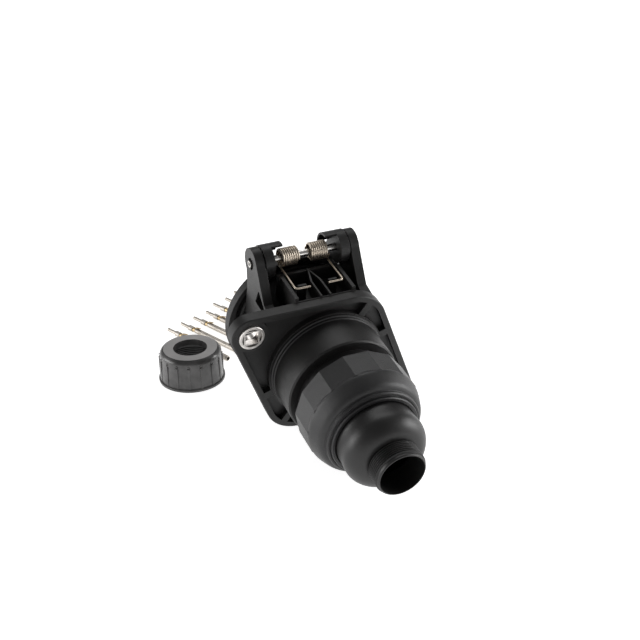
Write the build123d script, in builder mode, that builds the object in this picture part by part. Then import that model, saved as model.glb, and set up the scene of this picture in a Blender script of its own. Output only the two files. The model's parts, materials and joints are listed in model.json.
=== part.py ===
from build123d import *
import os
from math import atan, cos, pi, radians, sin

# A trailer wiring connector: a 15-way flanged socket with a sprung lid, its loose cap nut and loose contacts.
# The connector is modelled in its own frame (millimetres): the origin is the centre of the flange's rear
# face, x along the hinge pin, y towards the hinge, z along the axis towards the cable end. Its pieces are
# then placed together, lying on the floor on the flange's lower edge and the union nut.

os.makedirs("parts", exist_ok=True)

# ---------------------------------------------------------------- driving dimensions
# flange: a lozenge whose four sides are the same distance from the axis
flange_half = 41.5
flange_slant = 21.7
flange_thick = 6.6
flange_acute_r = 11.0
flange_obtuse_r = 21.0
flange_rim = 3.5
pocket_depth = 3.6
pocket_inner_r = 34.0
pocket_ribs = ((56, 4.0), (20, 4.5), (236, 4.0), (200, 4.5))
boss_r = 9.6

# bolt sleeves in the acute corners
sleeve_r = 7.15
sleeve_edge = 11.0
sleeve_head = 1.2
sleeve_cup_r = 5.6
sleeve_square = 7.4
bolt_hole_r = 3.7

# body barrel
barrel_r = 32.0
barrel_rear = 23.3
neck_r = 27.6
neck_rear = 44.0
neck_bore_r = 23.0
collar_front = -46.5
collar_bore_r = 27.5
insert_seat = -10.0

# hinge
pin_y = 48.3
pin_z = -39.0
pin_r = 2.0
ear_out = 30.5
ear_in = 25.2
ear_lobe_r = 8.8
knuckle_out = 24.8
knuckle_in = 19.4
knuckle_r = 9.3
hood_in = 12.6

# spring seat between the ears
trough_half = 17.6
trough_y = 42.0
trough_front = -33.0
trough_wall = 2.0
trough_floor = 34.0

# springs
wire_r = 0.6
coil_r = 4.7
coil_out = 13.9
coil_turns = 8
coil_pitch = 1.25
leg_end_z = -15.0
leg_hook_x = 5.3

# lid
lid_r = 40.0
lid_front = -54.0
lid_plate = 2.6
lid_rear = -46.2
lid_wall = 2.8

# insert
insert_r = 27.2
contact_hole_r = 1.9
ring_counts = ((1, 0.0), (5, 9.0), (9, 18.5))

# union nut
nut_front = 32.0
nut_flat_rear = 48.2
nut_rear = 62.6
nut_vertex_r = 32.2
nut_facets = 14
nut_bore_r = 28.0
nut_lip_r = 22.9

# rear housing
housing_seat = 44.4
tube_r = 13.4
thread_r = 14.15
thread_pitch = 1.25
thread_start = 82.6
thread_count = 7
tube_end = 93.5
tube_bore_r = 12.5

# cap nut
cap_r = 20.0
cap_height = 19.9
cap_hole_r = 10.2
cap_thread_r = 14.5
cap_ribs = 16
cap_turns = 9

# loose contacts
contact_count = 12
contact_pitch = 10.9
row_steps = ((4, 5.2), (6, 3.4))        # from these contacts on, the row lies further back
contact_length = 58.0
contact_barrel_r = 1.75

# places on the floor; the loose pieces' places are counted from the point below the flange's centre
tilt = atan((flange_half - nut_vertex_r) / nut_flat_rear)
connector_x = -7.74
connector_y = -53.98
cap_place = (-50.3, 88.15)
row_start = (-45.4, 150.0)
row_heading = 21.5


# ---------------------------------------------------------------- helpers
def save(builder, name, place):
    """Label a finished piece, put it in its place and write its STEP file."""
    builder.part.label = name
    placed = place * builder.part
    placed.label = name
    export_step(placed, f"parts/{name}.step")


# the connector's own frame: z runs to the cable end and dips towards the floor by the tilt
axis_height = flange_half * cos(tilt)
connector = Plane(
    origin=(connector_x, connector_y, axis_height),
    x_dir=(1, 0, 0),
    z_dir=(0, -cos(tilt), -sin(tilt)),
).location
section = Plane.XZ                      # profiles drawn as (radius, z) and turned about the axis


# ---------------------------------------------------------------- socket body
slant_c = cos(radians(flange_slant))
slant_s = sin(radians(flange_slant))
acute_x = flange_half * (1 + slant_s) / slant_c
obtuse_x = flange_half * (1 - slant_s) / slant_c
corners = [
    (-acute_x, flange_half),
    (obtuse_x, flange_half),
    (acute_x, -flange_half),
    (-obtuse_x, -flange_half),
]
sleeve_share = 1 - sleeve_edge / flange_half
sleeve_x = acute_x * sleeve_share
sleeve_y = flange_half * sleeve_share
sleeve_spots = [(-sleeve_x, sleeve_y), (sleeve_x, -sleeve_y)]

with BuildSketch(Plane.XY) as flange_outline:
    with BuildLine():
        Polyline(*corners, close=True)
    make_face()
    acute = flange_outline.vertices().sort_by(Axis.X)
    fillet([acute[0], acute[-1]], flange_acute_r)
    obtuse = [v for v in flange_outline.vertices() if abs(v.Y) > flange_half - 0.1 and abs(v.X) <= obtuse_x + 0.1
              and abs(abs(v.X) - obtuse_x) < 0.1]
    fillet(obtuse, flange_obtuse_r)

with BuildSketch(Plane.XY) as pocket_outline:
    add(flange_outline.sketch)
    offset(amount=-flange_rim, mode=Mode.REPLACE)
    Circle(pocket_inner_r, mode=Mode.SUBTRACT)
    with Locations(*sleeve_spots):
        Circle(boss_r, mode=Mode.SUBTRACT)
    for rib_angle, rib_width in pocket_ribs:
        with Locations(Location((0, 0), rib_angle)):
            Rectangle(70, rib_width, align=(Align.MIN, Align.CENTER), mode=Mode.SUBTRACT)

with BuildPart() as socket_body:
    with BuildSketch(Plane.XY):
        add(flange_outline.sketch)
    extrude(amount=-flange_thick)
    chamfer(socket_body.edges().group_by(Axis.Z)[-1], 0.5)
    with BuildSketch(Plane.XY):
        add(pocket_outline.sketch)
    extrude(amount=-pocket_depth, mode=Mode.SUBTRACT)
    # barrel behind the flange with two fine beads at its foot, a step and the threaded neck
    with BuildSketch(section):
        with BuildLine():
            Polyline(
                (0, -1),
                (barrel_r + 1.2, -1),
                (barrel_r + 1.2, 1.2),
                (barrel_r + 0.5, 1.6),
                (barrel_r + 0.5, 2.8),
                (barrel_r, 3.2),
                (barrel_r, barrel_rear - 0.8),
                (barrel_r - 0.8, barrel_rear),
                (neck_r - 1.2, barrel_rear),
                (neck_r - 1.2, barrel_rear + 6),
                (neck_r, barrel_rear + 7),
                (neck_r, neck_rear - 1),
                (neck_r - 1, neck_rear),
                (0, neck_rear),
                close=True,
            )
        make_face()
    revolve(axis=Axis.Z)
    # collar that takes the plug, in front of the flange
    with BuildSketch(Plane.XY.offset(-flange_thick)):
        Circle(barrel_r)
    extrude(amount=collar_front + flange_thick)
    # two outer hinge ears: a round lobe about the pin and a gusset down to the flange
    for side in (-1, 1):
        with BuildSketch(Plane.YZ.offset(side * (ear_in + ear_out) / 2)):
            with Locations((pin_y, pin_z)):
                Circle(ear_lobe_r)
            with BuildLine():
                Polyline(
                    (pin_y + 3.5, pin_z + 8.05),
                    (pin_y - 14.4, -flange_thick - 12.0),
                    (pin_y - 16.6, -flange_thick + 0.5),
                    (12.0, -flange_thick + 0.5),
                    (12.0, collar_front + 1.5),
                    (30.0, collar_front + 3.5),
                    (pin_y - 6.6, pin_z - 5.8),
                    close=True,
                )
            make_face()
        extrude(amount=(ear_out - ear_in) / 2, both=True)
        # three-cornered lightening recess in the outer face of each ear
        with BuildSketch(Plane.YZ.offset(side * ear_out)):
            with BuildLine():
                Polyline((38.5, -27.0), (28.5, -13.5), (28.5, -31.0), close=True)
            make_face()
            fillet(vertices(), 0.8)
        extrude(amount=-side * 4.2, mode=Mode.SUBTRACT)
        with Locations(Plane.YZ.offset(side * ear_out)):
            with Locations((pin_y, pin_z)):
                Cylinder(3.4, 3.0, mode=Mode.SUBTRACT)
    # spring seat between the ears: a floor, two side walls, a wishbone rib and two wire lips
    seat_length = -flange_thick - trough_front
    with BuildSketch(Plane.XY.offset(trough_front)):
        with Locations((0, (20 + trough_y) / 2)):
            Rectangle(2 * trough_half, trough_y - 20)
    extrude(amount=seat_length + 0.5)
    with BuildSketch(Plane.XY.offset(trough_front + 2.0)):
        with Locations((0, trough_floor + 5)):
            Rectangle(2 * (trough_half - trough_wall), 10)
    extrude(amount=seat_length - 2.0, mode=Mode.SUBTRACT)
    for side in (-1, 1):
        with BuildSketch(Plane.XY.offset(trough_front + 5)):
            with Locations((side * (trough_half - trough_wall / 2), trough_y + 0.6)):
                Rectangle(trough_wall, 2.4)
        extrude(amount=seat_length - 5.2)
        with BuildSketch(Plane.XZ.offset(-trough_floor + 0.5)):
            with BuildLine():
                Polyline(
                    (side * 0.0, trough_front + 0.5),
                    (side * 3.2, -20.0),
                    (side * 3.2, -flange_thick + 0.5),
                    (side * 2.2, -flange_thick + 0.5),
                    (side * 2.2, -19.6),
                    (side * 0.0, trough_front + 3.5),
                    close=True,
                )
            make_face()
        extrude(amount=-(trough_y + 1.1 - trough_floor + 0.5))
        with Locations((side * 9.0, trough_floor + 4.4, leg_end_z - 3.0)):
            Box(5.0, 9.8, 1.4)
    # hollow inside: plug collar, insert bore, wiring space and neck
    with BuildSketch(section):
        with BuildLine():
            Polyline(
                (0, collar_front - 1),
                (collar_bore_r, collar_front - 1),
                (collar_bore_r, insert_seat),
                (neck_bore_r, insert_seat),
                (neck_bore_r, neck_rear + 1),
                (0, neck_rear + 1),
                close=True,
            )
        make_face()
    revolve(axis=Axis.Z, mode=Mode.SUBTRACT)
    # sleeve seats and hinge pin bore
    with Locations(*sleeve_spots):
        Cylinder(sleeve_r, 40, mode=Mode.SUBTRACT)
    with Locations(Location((0, pin_y, pin_z), (0, 90, 0))):
        Cylinder(pin_r + 0.01, 80, mode=Mode.SUBTRACT)
    # knuckle clearance round the hinge line, for the lid's own ears
    for side in (-1, 1):
        with Locations(Location((side * (knuckle_in + ear_in) / 2, pin_y, pin_z), (0, 90, 0))):
            Cylinder(knuckle_r + 0.5, ear_in - knuckle_in + 0.6, mode=Mode.SUBTRACT)
save(socket_body, "socket_body", connector)


# ---------------------------------------------------------------- bolt sleeves
for sleeve_name, spot in zip(("bolt_sleeve_upper", "bolt_sleeve_lower"), sleeve_spots):
    with BuildPart() as bolt_sleeve:
        with BuildSketch(Plane.XY.offset(-flange_thick)):
            with Locations(spot):
                Circle(sleeve_r)
                Circle(bolt_hole_r, mode=Mode.SUBTRACT)
        extrude(amount=flange_thick + sleeve_head)
        rim_edges = bolt_sleeve.edges().filter_by(GeomType.CIRCLE).group_by(Axis.Z)[-1]
        fillet(rim_edges.sort_by(SortBy.RADIUS)[-1], 0.45)
        with BuildSketch(Plane.XY.offset(sleeve_head)):
            with Locations(spot):
                Circle(sleeve_cup_r)
        extrude(amount=-1.6, mode=Mode.SUBTRACT)
        with BuildSketch(Plane.XY.offset(sleeve_head - 1.6)):
            with Locations(spot):
                Rectangle(sleeve_square, sleeve_square)
        extrude(amount=-2.6, mode=Mode.SUBTRACT)
        # an upstanding square collar frames the socket inside the round cup
        with BuildSketch(Plane.XY.offset(sleeve_head - 1.7)):
            with Locations(spot):
                Rectangle(sleeve_square + 1.2, sleeve_square + 1.2)
                Rectangle(sleeve_square, sleeve_square, mode=Mode.SUBTRACT)
        extrude(amount=1.3)
    save(bolt_sleeve, sleeve_name, connector)


# ---------------------------------------------------------------- hinge pin
with BuildPart() as hinge_pin:
    with BuildSketch(Plane.YZ.offset(-ear_out - 1.0)):
        with Locations((pin_y, pin_z)):
            Circle(pin_r - 0.03)
            Circle(1.15, mode=Mode.SUBTRACT)
    extrude(amount=2 * ear_out + 2.0)
    chamfer(hinge_pin.edges().filter_by(GeomType.CIRCLE), 0.15)
save(hinge_pin, "hinge_pin", connector)


# ---------------------------------------------------------------- torsion springs
leg_y = pin_y - coil_r
coil_height = coil_turns * coil_pitch
with BuildPart() as spring_left:
    with BuildLine() as coil_path:
        Helix(
            pitch=coil_pitch,
            height=coil_height,
            radius=coil_r,
            center=(-coil_out, pin_y, pin_z),
            direction=(1, 0, 0),
        )
    with BuildSketch(Plane(origin=coil_path.wire() @ 0, z_dir=coil_path.wire() % 0)):
        Circle(wire_r)
    sweep(path=coil_path.wire())
    # rear leg along the seat's floor, with its end hooked inwards
    with BuildLine() as leg_path:
        FilletPolyline(
            (-coil_out, leg_y, pin_z - 0.6),
            (-coil_out, leg_y, leg_end_z),
            (-leg_hook_x, leg_y, leg_end_z),
            radius=1.8,
        )
    with BuildSketch(Plane(origin=leg_path.wire() @ 0, z_dir=leg_path.wire() % 0)):
        Circle(wire_r)
    sweep(path=leg_path.wire())
    # inner leg down to the lid's cross bar
    with BuildSketch(Plane.XZ.offset(-pin_y - 0.5)):
        with Locations((coil_height - coil_out, pin_z - coil_r)):
            Circle(wire_r)
    extrude(amount=6.3)
save(spring_left, "spring_left", connector)

with BuildPart() as spring_right:
    mirror(spring_left.part, about=Plane.YZ)
save(spring_right, "spring_right", connector)


# ---------------------------------------------------------------- lid
with BuildPart() as lid:
    with BuildSketch(section):
        with BuildLine():
            Polyline(
                (0, lid_front),
                (lid_r - 3, lid_front),
                (lid_r, lid_front + 2.5),
                (lid_r, lid_rear),
                (lid_r - lid_wall, lid_rear),
                (lid_r - lid_wall, lid_front + lid_plate),
                (0, lid_front + lid_plate),
                close=True,
            )
        make_face()
    revolve(axis=Axis.Z)
    # ring that holds the seal
    with BuildSketch(Plane.XY.offset(lid_front + lid_plate - 0.5)):
        Circle(barrel_r - 4.6)
        Circle(barrel_r - 6.2, mode=Mode.SUBTRACT)
    extrude(amount=3.0)
    # raised disc and ribs on the outside
    with BuildSketch(Plane.XY.offset(lid_front + 0.5)):
        Circle(27)
        Circle(24.5, mode=Mode.SUBTRACT)
    extrude(amount=-1.3)
    # two inner hinge ears, each with a thin hood over the spring
    for side in (-1, 1):
        with BuildSketch(Plane.YZ.offset(side * (knuckle_in + knuckle_out) / 2)):
            with Locations((pin_y, pin_z)):
                Circle(knuckle_r)
            with BuildLine():
                Polyline(
                    (pin_y + 1.0, pin_z - 9.2),
                    (pin_y - 12, lid_front + 0.8),
                    (29.0, lid_front + 0.8),
                    (29.0, lid_front + lid_plate + 0.4),
                    (31.0, lid_rear - 0.2),
                    (pin_y - 8.0, pin_z - 4.6),
                    close=True,
                )
            make_face()
        extrude(amount=(knuckle_out - knuckle_in) / 2, both=True)
        with BuildSketch(Plane.YZ.offset(side * knuckle_in)):
            with Locations((pin_y, pin_z)):
                Circle(knuckle_r)
                Circle(knuckle_r - 1.2, mode=Mode.SUBTRACT)
                Rectangle(40, 40, align=(Align.MAX, Align.CENTER), mode=Mode.SUBTRACT)
                with Locations(Location((0, 0), -82)):
                    Rectangle(40, 40, align=(Align.MIN, Align.CENTER), mode=Mode.INTERSECT)
        extrude(amount=-side * (knuckle_in - hood_in))
    # cross bar between the ears, which the springs press on
    with BuildSketch(Plane.YZ.offset(-knuckle_in - 0.5)):
        with Locations((pin_y - 5.2, pin_z - 7.75)):
            Rectangle(3.2, 2.2, rotation=45)
    extrude(amount=2 * knuckle_in + 1.0)
    # finger tab at the lower edge
    with BuildSketch(Plane.XY.offset(lid_front + 0.6)):
        with Locations((0, -lid_r - 1.0)):
            RectangleRounded(22, 8, 3)
    extrude(amount=3.4)
    with Locations(Location((0, pin_y, pin_z), (0, 90, 0))):
        Cylinder(pin_r + 0.03, 80, mode=Mode.SUBTRACT)
save(lid, "lid", connector)

with BuildPart() as lid_seal:
    with BuildSketch(Plane.XY.offset(lid_front + lid_plate)):
        Circle(barrel_r + 1.6)
        Circle(barrel_r - 4.4, mode=Mode.SUBTRACT)
    extrude(amount=collar_front - 0.3 - lid_front - lid_plate)
    chamfer(lid_seal.edges().group_by(Axis.Z)[-1], 0.6)
save(lid_seal, "lid_seal", connector)


# ---------------------------------------------------------------- contact insert, lock plate, wire seal
def contact_spots():
    """Places of the contact holes: one in the middle and two rings."""
    spots = []
    for count, radius in ring_counts:
        for step in range(count):
            angle = 2 * pi * step / count + pi / 2
            spots.append((radius * cos(angle), radius * sin(angle)))
    return spots


insert_front = collar_front + 9.0
insert_rear = insert_seat - 6.0
with BuildPart() as contact_insert:
    with BuildSketch(Plane.XY.offset(insert_front)):
        Circle(insert_r - 3.7)
    extrude(amount=insert_rear - insert_front)
    with BuildSketch(Plane.XY.offset(insert_rear - 7.0)):
        Circle(insert_r)
    extrude(amount=7.0)
    with BuildSketch(Plane.XY.offset(insert_front)):
        with PolarLocations(insert_r - 3.0, 3, start_angle=90):
            Rectangle(5.0, 4.0)
    extrude(amount=insert_rear - insert_front)
    with Locations(*[(x, y, insert_rear) for x, y in contact_spots()]):
        Hole(contact_hole_r)
save(contact_insert, "contact_insert", connector)

with BuildPart() as lock_plate:
    with BuildSketch(Plane.XY.offset(insert_rear)):
        Circle(insert_r)
        with Locations(*contact_spots()):
            Circle(contact_hole_r + 0.3, mode=Mode.SUBTRACT)
    extrude(amount=2.5)
save(lock_plate, "lock_plate", connector)

with BuildPart() as wire_seal:
    with BuildSketch(Plane.XY.offset(insert_rear + 2.5)):
        Circle(insert_r)
        with Locations(*contact_spots()):
            Circle(contact_hole_r - 0.4, mode=Mode.SUBTRACT)
    extrude(amount=insert_seat - insert_rear - 2.5)
save(wire_seal, "wire_seal", connector)


# ---------------------------------------------------------------- union nut
nut_flat_r = nut_vertex_r * cos(pi / nut_facets)
with BuildPart() as union_nut:
    with BuildSketch(Plane.XY.offset(nut_front)):
        RegularPolygon(nut_vertex_r, nut_facets, rotation=90 + 180 / nut_facets)
    extrude(amount=nut_flat_rear - nut_front)
    with BuildSketch(section):
        with BuildLine():
            nut_shoulder = Spline(
                (nut_flat_r - 0.5, nut_flat_rear - 1.9),
                (nut_vertex_r - 0.35, nut_flat_rear + 0.1),
                (31.3, 51.2),
                (30.3, 54.2),
                (29.1, 56.8),
                (27.4, 58.2),
            )
            Polyline(
                (27.4, 58.2),
                (26.7, 58.4),
                (26.5, 58.9),
                (26.7, 60.0),
                (26.2, 60.7),
                (25.3, 60.8),
                (25.0, 60.4),
                (24.7, 60.8),
                (24.8, 62.0),
                (24.4, nut_rear),
                (0, nut_rear),
                (0, nut_flat_rear - 1.9),
                (nut_flat_r - 0.5, nut_flat_rear - 1.9),
            )
        make_face()
    revolve(axis=Axis.Z)
    with BuildSketch(section):
        with BuildLine():
            Polyline(
                (0, nut_front - 1),
                (nut_bore_r, nut_front - 1),
                (nut_bore_r, 49.8),
                (27.4, 52.2),
                (25.6, 55.4),
                (23.6, 57.7),
                (nut_lip_r, 58.9),
                (nut_lip_r, nut_rear + 1),
                (0, nut_rear + 1),
                close=True,
            )
        make_face()
    revolve(axis=Axis.Z, mode=Mode.SUBTRACT)
save(union_nut, "union_nut", connector)


# ---------------------------------------------------------------- rear housing and its seal
thread_turns = [thread_start + 0.9 + thread_pitch * n for n in range(thread_count)]
with BuildPart() as rear_housing:
    with BuildSketch(section):
        with BuildLine():
            Polyline(
                (neck_bore_r, housing_seat),
                (nut_bore_r - 0.6, housing_seat),
                (nut_bore_r - 0.6, 49.2),
                (26.7, 51.7),
                (24.9, 54.8),
                (22.9, 57.1),
                (22.4, 58.3),
                (22.4, 65.0),
            )
            bulge = Spline(
                (22.4, 65.0),
                (22.8, 69.5),
                (22.9, 73.5),
                (21.7, 77.1),
                (19.4, 80.2),
                (16.2, 82.1),
                (tube_r, thread_start),
                tangents=[(0, 1), (-1, 0.1)],
            )
            Polyline(
                (tube_r, thread_start),
                (tube_r, tube_end - 0.6),
                (tube_r - 0.5, tube_end),
                (tube_bore_r, tube_end),
                (tube_bore_r, 78.0),
                (18.8, 72.0),
                (19.4, 60.0),
                (neck_bore_r, 52.0),
                (neck_bore_r, housing_seat),
            )
        make_face()
    revolve(axis=Axis.Z)
    # fine thread on the tube, as close ridges, and the collar at its end
    for turn in thread_turns:
        with BuildSketch(section):
            with BuildLine():
                Polyline(
                    (tube_r - 0.4, turn - 0.6),
                    (thread_r, turn - 0.12),
                    (thread_r, turn + 0.12),
                    (tube_r - 0.4, turn + 0.6),
                    close=True,
                )
            make_face()
        revolve(axis=Axis.Z)
save(rear_housing, "rear_housing", connector)

with BuildPart() as housing_seal:
    with BuildSketch(section):
        with Locations((neck_bore_r + 2.4, neck_rear + 0.2)):
            Circle(0.18)
    revolve(axis=Axis.Z)
save(housing_seal, "housing_seal", connector)


# ---------------------------------------------------------------- cap nut, standing loose on the floor
cap_location = Location((connector_x + cap_place[0], connector_y + cap_place[1], 0))
cap_wall_r = cap_r - 0.9
with BuildPart() as cap_nut:
    with BuildSketch(section):
        with BuildLine():
            Polyline(
                (0, 0),
                (cap_r, 0),
                (cap_r, 1.2),
                (cap_wall_r, 1.9),
                (cap_wall_r - 0.5, cap_height - 3.4),
            )
            cap_shoulder = TangentArc(
                (cap_wall_r - 0.5, cap_height - 3.4),
                (cap_wall_r - 2.9, cap_height),
                tangent=(0, 1),
            )
            Polyline(
                (cap_wall_r - 2.9, cap_height),
                (0, cap_height),
                (0, 0),
            )
        make_face()
    revolve(axis=Axis.Z)
    with PolarLocations(cap_wall_r - 0.35, cap_ribs):
        with Locations((0, 0, (cap_height - 3.6) / 2)):
            Box(1.1, 1.3, cap_height - 3.6)
    with PolarLocations(cap_wall_r - 0.1, cap_ribs):
        with Locations((0, 0, cap_height - 4.4)):
            Box(1.6, 1.7, 1.2, mode=Mode.SUBTRACT)
    with Locations((0, 0, cap_height)):
        Hole(cap_hole_r)
    with BuildSketch(Plane.XY.offset(-1)):
        Circle(cap_thread_r)
    extrude(amount=cap_height - 4.0 + 1, mode=Mode.SUBTRACT)
    for turn in range(cap_turns):
        thread_z = 2.0 + thread_pitch * turn
        with BuildSketch(section):
            with BuildLine():
                Polyline(
                    (cap_thread_r + 0.3, thread_z - 0.6),
                    (cap_thread_r + 0.3, thread_z + 0.6),
                    (cap_thread_r - 0.6, thread_z + 0.1),
                    (cap_thread_r - 0.6, thread_z - 0.1),
                    close=True,
                )
            make_face()
        revolve(axis=Axis.Z)
save(cap_nut, "cap_nut", cap_location)


# ---------------------------------------------------------------- loose contacts, in a row on the floor
def contact_place(number):
    """Place of one contact: its tip in the row, its axis square to the row and just above the floor."""
    heading = radians(row_heading)
    along = contact_pitch * number
    back = sum(step for first, step in row_steps if number >= first)
    tip_x = connector_x + row_start[0] + along * cos(heading) - back * sin(heading)
    tip_y = connector_y + row_start[1] + along * sin(heading) + back * cos(heading)
    return Location((tip_x, tip_y, contact_barrel_r), (0, 0, row_heading - 90))


for number in range(contact_count):
    with BuildPart() as contact:
        # turned pin, collar, waist and hollow crimp barrel, about the X axis
        with BuildSketch(Plane.XY):
            with BuildLine():
                Polyline(
                    (0, 0),
                    (0, 0.7),
                    (0.5, 1.1),
                    (8.6, 1.1),
                    (8.6, contact_barrel_r),
                    (12.5, contact_barrel_r),
                    (12.5, 0.95),
                    (15.5, 0.95),
                    (15.5, contact_barrel_r),
                    (contact_length - 0.3, contact_barrel_r),
                    (contact_length, contact_barrel_r - 0.3),
                    (contact_length, 1.2),
                    (contact_length - 9.0, 1.2),
                    (contact_length - 9.5, 0),
                    (0, 0),
                )
            make_face()
        revolve(axis=Axis.X)
        with Locations((contact_length - 10.5, 0, contact_barrel_r)):
            Cylinder(0.7, 1.6, mode=Mode.SUBTRACT)
    save(contact, f"contact_{number + 1:02d}", contact_place(number))

    with BuildPart() as contact_clip:
        # spring clip that snaps round the waist, with a raised locking lance
        with BuildSketch(Plane.YZ.offset(12.9)):
            Circle(1.5)
            Circle(1.05, mode=Mode.SUBTRACT)
            Rectangle(1.3, 1.7, align=(Align.CENTER, Align.MAX), mode=Mode.SUBTRACT)
        extrude(amount=2.2)
        with BuildSketch(Plane.XZ):
            with BuildLine():
                Polyline(
                    (13.0, 1.2),
                    (14.5, 1.2),
                    (15.3, 1.8),
                    (19.5, 2.75),
                    (19.4, 3.05),
                    (15.1, 2.15),
                    (14.3, 1.5),
                    (13.0, 1.5),
                    close=True,
                )
            make_face()
        extrude(amount=0.6, both=True)
    save(contact_clip, f"contact_clip_{number + 1:02d}", contact_place(number))
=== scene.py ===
import json
from math import cos, pi, radians, sin

import bpy
from mathutils import Matrix, Vector


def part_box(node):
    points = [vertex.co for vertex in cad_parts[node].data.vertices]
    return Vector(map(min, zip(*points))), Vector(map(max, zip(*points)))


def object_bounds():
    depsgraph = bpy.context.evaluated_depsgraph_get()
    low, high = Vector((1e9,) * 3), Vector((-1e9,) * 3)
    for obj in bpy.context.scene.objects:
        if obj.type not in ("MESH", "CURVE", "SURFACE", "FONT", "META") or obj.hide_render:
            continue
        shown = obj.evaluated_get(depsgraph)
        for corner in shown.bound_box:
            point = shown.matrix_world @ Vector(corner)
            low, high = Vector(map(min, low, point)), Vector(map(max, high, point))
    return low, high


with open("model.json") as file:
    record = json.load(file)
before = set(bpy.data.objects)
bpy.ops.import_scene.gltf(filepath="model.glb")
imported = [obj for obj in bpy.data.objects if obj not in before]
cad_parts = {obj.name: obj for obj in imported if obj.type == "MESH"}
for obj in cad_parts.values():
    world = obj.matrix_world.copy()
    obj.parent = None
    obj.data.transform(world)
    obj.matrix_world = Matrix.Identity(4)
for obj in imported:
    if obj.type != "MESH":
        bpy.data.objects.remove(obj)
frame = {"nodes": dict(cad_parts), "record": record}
cad_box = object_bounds()
nodes = frame["nodes"]

# ------------------------------------------------------------------ studio values, in metres and degrees
camera_elevation = 27.5
camera_azimuth = 23.35
camera_roll = -1.5
camera_lens, camera_sensor = 73.1, 36.0     # millimetres
camera_distance = 0.71541
aim_left = 0.00347                          # the camera aims this far to the left of the flange's centre
aim_above = 0.02394                         # and this far above it
flange_centre = Vector((-0.00774, -0.05398, 0.04075))

light_aim = Vector((0, 0, 0.04))
floor_half = 30.0
floor_gap = 0.0001
floor_glow = 0.80
fade_start, fade_end = 0.03, 0.25           # the Z of a direction, from where to where the background dims
low_sky_light, high_sky_light = 1.0, 0.22   # the background's strength below that stretch and above it

# ------------------------------------------------------------------ camera at the photograph's angle
elevation = radians(camera_elevation)
azimuth = radians(camera_azimuth)
roll = radians(camera_roll)
right = Vector((cos(azimuth), -sin(azimuth), 0))
away = Vector((sin(azimuth), cos(azimuth), 0))
looking = away * cos(elevation) - Vector((0, 0, sin(elevation)))
upward = away * sin(elevation) + Vector((0, 0, cos(elevation)))
side = right * cos(roll) + upward * sin(roll)
top = upward * cos(roll) - right * sin(roll)

camera_data = bpy.data.cameras.new("camera")
camera_data.sensor_width = camera_sensor
camera_data.lens = camera_lens
camera = bpy.data.objects.new("camera", camera_data)
bpy.context.scene.collection.objects.link(camera)
camera.location = flange_centre - side * aim_left + top * aim_above - looking * camera_distance
camera.rotation_mode = "QUATERNION"
camera.rotation_quaternion = Matrix((side, top, -looking)).transposed().to_quaternion()
bpy.context.scene.camera = camera


# ------------------------------------------------------------------ node helpers
class Nodes:
    """A material's node tree with short calls to add and join nodes."""

    def __init__(self, name):
        self.material = bpy.data.materials.new(name)
        self.material.use_nodes = True
        self.tree = self.material.node_tree
        self.shader = self.tree.nodes["Principled BSDF"]
        self.place = self.tree.nodes.new("ShaderNodeTexCoord").outputs["Object"]

    def add(self, kind, **settings):
        node = self.tree.nodes.new(kind)
        for key, value in settings.items():
            setattr(node, key, value)
        return node

    def join(self, source, target):
        self.tree.links.new(source, target)

    def noise(self, scale, detail=3.0, source=None):
        node = self.add("ShaderNodeTexNoise")
        node.inputs["Scale"].default_value = scale
        node.inputs["Detail"].default_value = detail
        self.join(source or self.place, node.inputs["Vector"])
        return node.outputs["Fac"]

    def ramp(self, factor, low=0.0, high=1.0, start=0.3, end=0.7):
        node = self.add("ShaderNodeMapRange")
        node.inputs["From Min"].default_value = start
        node.inputs["From Max"].default_value = end
        node.inputs["To Min"].default_value = low
        node.inputs["To Max"].default_value = high
        self.join(factor, node.inputs["Value"])
        return node.outputs["Result"]

    def math(self, operation, *values):
        node = self.add("ShaderNodeMath", operation=operation)
        for socket, value in zip(node.inputs, values):
            if isinstance(value, (int, float)):
                socket.default_value = value
            else:
                self.join(value, socket)
        return node.outputs["Value"]

    def split(self, vector):
        node = self.add("ShaderNodeSeparateXYZ")
        self.join(vector, node.inputs["Vector"])
        return node.outputs["X"], node.outputs["Y"], node.outputs["Z"]

    def colours(self, factor, dark, light):
        node = self.add("ShaderNodeMix", data_type="RGBA")
        self.join(factor, node.inputs["Factor"])
        node.inputs["A"].default_value = (*dark, 1)
        node.inputs["B"].default_value = (*light, 1)
        return node.outputs["Result"]

    def bump(self, height, strength, distance, normal=None):
        node = self.add("ShaderNodeBump")
        node.inputs["Strength"].default_value = strength
        node.inputs["Distance"].default_value = distance
        self.join(height, node.inputs["Height"])
        if normal is not None:
            self.join(normal, node.inputs["Normal"])
        return node.outputs["Normal"]

    def rounded(self, radius):
        node = self.add("ShaderNodeBevel", samples=4)
        node.inputs["Radius"].default_value = radius
        return node.outputs["Normal"]

    def surface(self, colour, roughness, normal):
        self.join(colour, self.shader.inputs["Base Color"])
        self.join(roughness, self.shader.inputs["Roughness"])
        self.join(normal, self.shader.inputs["Normal"])


# ------------------------------------------------------------------ materials
def plastic(name, dark, light, rough, grain_scale, grain, specular=0.35):
    """Moulded plastic: a fine spark-eroded grain, slow gloss variation, faint dust and softened edges."""
    n = Nodes(name)
    cloud = n.noise(scale=45.0, detail=4.0)
    speck = n.noise(scale=grain_scale, detail=2.0)
    dust = n.ramp(n.noise(scale=2600.0, detail=1.0), start=0.70, end=0.80)
    tone = n.math("MAXIMUM", n.ramp(cloud), dust)
    speck_shine = n.math("MULTIPLY", speck, 0.08)
    shine = n.math("ADD", n.ramp(cloud, low=rough - 0.05, high=rough + 0.06), speck_shine)
    relief = n.bump(speck, strength=grain, distance=0.0001, normal=n.rounded(radius=0.0003))
    n.surface(n.colours(tone, dark, light), shine, relief)
    n.shader.inputs["Specular IOR Level"].default_value = specular
    return n.material


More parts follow.
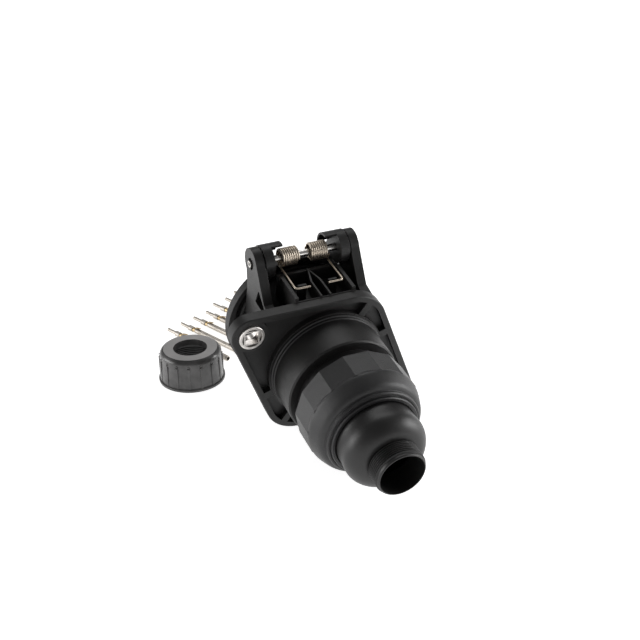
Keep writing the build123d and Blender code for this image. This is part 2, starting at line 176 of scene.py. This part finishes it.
def metal(name, dark, light, rough, stretch, scratch=0.08, fine=9000.0):
    """Drawn or turned metal: streaks along one direction, faint stains, and painted shade that darkens its
    crevices.
    """
    n = Nodes(name)
    drawn = n.add("ShaderNodeMapping")
    drawn.inputs["Scale"].default_value = stretch
    n.join(n.place, drawn.inputs["Vector"])
    streak = n.noise(scale=fine, source=drawn.outputs["Vector"])
    stain = n.noise(scale=260.0, detail=4.0)
    # painted shade: ambient occlusion darkens the colour in crevices and recesses, where shade falls
    crevice_shade_ao = n.add("ShaderNodeAmbientOcclusion", samples=4)
    crevice_shade_ao.inputs["Distance"].default_value = 0.003
    crevice_shade_mask = n.ramp(crevice_shade_ao.outputs["AO"], start=0.1, end=0.8)
    tone = n.math("MULTIPLY", n.ramp(stain, low=0.55), n.ramp(streak, low=0.85))
    tone = n.math("MULTIPLY", tone, crevice_shade_mask)
    shine = n.ramp(streak, low=rough - 0.03, high=rough + 0.06)
    relief = n.bump(streak, strength=scratch, distance=0.000012, normal=n.rounded(radius=0.00015))
    n.surface(n.colours(tone, dark, light), shine, relief)
    n.shader.inputs["Metallic"].default_value = 1.0
    return n.material


def cap_plastic(name, centre):
    """The cap nut's plastic: fine turned rings on its flat top, glossy on its shoulder, and painted light
    that colours its upward-facing top a lighter grey than its sides.
    """
    ring_spacing = 0.00035
    n = Nodes(name)
    x, y, _ = n.split(n.place)
    dx = n.math("SUBTRACT", x, centre[0])
    dy = n.math("SUBTRACT", y, centre[1])
    radius = n.math("SQRT", n.math("ADD", n.math("MULTIPLY", dx, dx), n.math("MULTIPLY", dy, dy)))
    rings = n.math("SINE", n.math("MULTIPLY", radius, 2 * pi / ring_spacing))
    _, _, facing_up = n.split(n.add("ShaderNodeNewGeometry").outputs["Normal"])
    # mask of the upward-facing flat top: it carries the turned rings, the gloss and painted light
    flat_top_and_painted_light = n.ramp(facing_up, start=0.97, end=0.995)
    cloud = n.noise(scale=60.0, detail=4.0)
    grain = n.noise(scale=9000.0, detail=2.0)
    # painted light: the upward-facing top is coloured light grey as if lit from above, while the sides
    # stay near black
    tone = n.math("ADD", n.math("MULTIPLY", flat_top_and_painted_light, 0.75), n.math("MULTIPLY", n.ramp(cloud), 0.25))
    colour = n.colours(tone, dark=(0.014, 0.0135, 0.0135), light=(0.400, 0.390, 0.385))
    shine = n.math("ADD", n.math("MULTIPLY", flat_top_and_painted_light, 0.22), n.ramp(cloud, low=0.20, high=0.27))
    turned = n.math("MULTIPLY", rings, n.math("MULTIPLY", flat_top_and_painted_light, 0.4))
    height = n.math("ADD", turned, n.math("MULTIPLY", grain, 0.5))
    relief = n.bump(height, strength=0.25, distance=0.00008, normal=n.rounded(radius=0.0002))
    n.surface(colour, shine, relief)
    n.shader.inputs["Specular IOR Level"].default_value = 0.5
    return n.material


def rubber(name):
    """Black seal rubber: matt, with a fine bloom."""
    n = Nodes(name)
    bloom = n.noise(scale=900.0, detail=4.0)
    colour = n.colours(n.ramp(bloom), dark=(0.010, 0.010, 0.010), light=(0.028, 0.028, 0.027))
    relief = n.bump(n.noise(scale=5200.0), strength=0.2, distance=0.0001)
    n.surface(colour, n.ramp(bloom, low=0.55, high=0.75), relief)
    n.shader.inputs["Specular IOR Level"].default_value = 0.3
    return n.material


black = (0.0068, 0.0065, 0.0065)
charcoal = (0.0135, 0.0130, 0.0128)
cap_low, cap_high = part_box("cap_nut")
cap_centre = (cap_low + cap_high) / 2

finishes = {
    "body_plastic": plastic("body_plastic", black, charcoal, rough=0.40, grain_scale=7000.0, grain=0.30),
    "lid_plastic": plastic("lid_plastic", black, charcoal, rough=0.40, grain_scale=7000.0, grain=0.30),
    "nut_plastic": plastic("nut_plastic", (0.008, 0.008, 0.0085), (0.016, 0.0155, 0.016),
                           rough=0.42, grain_scale=5200.0, grain=0.55, specular=0.5),
    "housing_plastic": plastic("housing_plastic", black, charcoal,
                               rough=0.36, grain_scale=9000.0, grain=0.22, specular=0.42),
    "insert_plastic": plastic("insert_plastic", (0.010, 0.010, 0.010), (0.020, 0.020, 0.021),
                              rough=0.5, grain_scale=6000.0, grain=0.3),
    "cap_plastic": cap_plastic("cap_plastic", cap_centre),
    "seal_rubber": rubber("seal_rubber"),
    "stainless": metal("stainless", (0.20, 0.19, 0.18), (0.98, 0.94, 0.90),
                       rough=0.34, stretch=(1.0, 1.0, 0.06), scratch=0.04),
    "pin_steel": metal("pin_steel", (0.48, 0.46, 0.43), (0.86, 0.84, 0.81),
                       rough=0.26, stretch=(1.0, 0.05, 0.05)),
    "spring_steel": metal("spring_steel", (0.18, 0.14, 0.10), (0.70, 0.62, 0.52),
                          rough=0.36, stretch=(1.0, 0.3, 0.3), scratch=0.05, fine=5200.0),
    "contact_metal": metal("contact_metal", (0.26, 0.23, 0.19), (0.62, 0.58, 0.53),
                           rough=0.50, stretch=(0.06, 1.0, 1.0), scratch=0.05),
    "clip_metal": metal("clip_metal", (0.16, 0.11, 0.06), (0.62, 0.48, 0.28),
                        rough=0.38, stretch=(1.0, 1.0, 0.3), scratch=0.05),
}
for subpart in frame["record"]["subparts"]:
    part = nodes[subpart["node"]]
    for place in part.material_slots:
        place.material = finishes[subpart["material_slot"]]

# ------------------------------------------------------------------ floor
corners = [(x * floor_half, y * floor_half, 0) for x, y in ((-1, -1), (1, -1), (1, 1), (-1, 1))]
floor_mesh = bpy.data.meshes.new("floor")
floor_mesh.from_pydata(corners, [], [(0, 1, 2, 3)])
floor = bpy.data.objects.new("floor", floor_mesh)
floor.location.z = cad_box[0][2] - floor_gap
bpy.context.scene.collection.objects.link(floor)
paper = Nodes("floor_paper")
fibre = paper.noise(scale=700.0)
paper.join(paper.colours(fibre, (0.90, 0.90, 0.90), (0.93, 0.93, 0.93)), paper.shader.inputs["Base Color"])
paper.shader.inputs["Roughness"].default_value = 0.75
paper.shader.inputs["Specular IOR Level"].default_value = 0.2
paper.shader.inputs["Emission Color"].default_value = (1, 1, 1, 1)
paper.shader.inputs["Emission Strength"].default_value = floor_glow
floor_mesh.materials.append(paper.material)


# ------------------------------------------------------------------ studio light
def softbox(name, across, back, up, size, radiance):
    position = light_aim + right * across + away * back + Vector((0, 0, up))
    data = bpy.data.lights.new(name, "AREA")
    data.shape = "RECTANGLE"
    data.size, data.size_y = size
    data.energy = radiance * pi * size[0] * size[1]
    light = bpy.data.objects.new(name, data)
    light.location = position
    light.rotation_mode = "QUATERNION"
    light.rotation_quaternion = (light_aim - position).to_track_quat("-Z", "Y")
    bpy.context.scene.collection.objects.link(light)


softbox("overhead", across=0.0, back=0.9, up=1.4, size=(1.2, 0.7), radiance=2.2)
softbox("right_box", across=1.2, back=0.15, up=0.36, size=(0.7, 0.6), radiance=8.0)
softbox("left_box", across=-1.2, back=-0.1, up=0.28, size=(0.8, 0.5), radiance=5.5)

# the background is white, and dimmer overhead than at the horizon
world = bpy.data.worlds.new("studio")
world.use_nodes = True
sky = world.node_tree
sky_place = sky.nodes.new("ShaderNodeTexCoord")
sky_split = sky.nodes.new("ShaderNodeSeparateXYZ")
sky_fall = sky.nodes.new("ShaderNodeMapRange")
sky_fall.inputs["From Min"].default_value = fade_start
sky_fall.inputs["From Max"].default_value = fade_end
sky_fall.inputs["To Min"].default_value = low_sky_light
sky_fall.inputs["To Max"].default_value = high_sky_light
sky.links.new(sky_place.outputs["Generated"], sky_split.inputs["Vector"])
sky.links.new(sky_split.outputs["Z"], sky_fall.inputs["Value"])
sky.links.new(sky_fall.outputs["Result"], sky.nodes["Background"].inputs["Strength"])
sky.nodes["Background"].inputs["Color"].default_value = (1, 1, 1, 1)
bpy.context.scene.world = world
bpy.context.scene.view_settings.view_transform = "Standard"
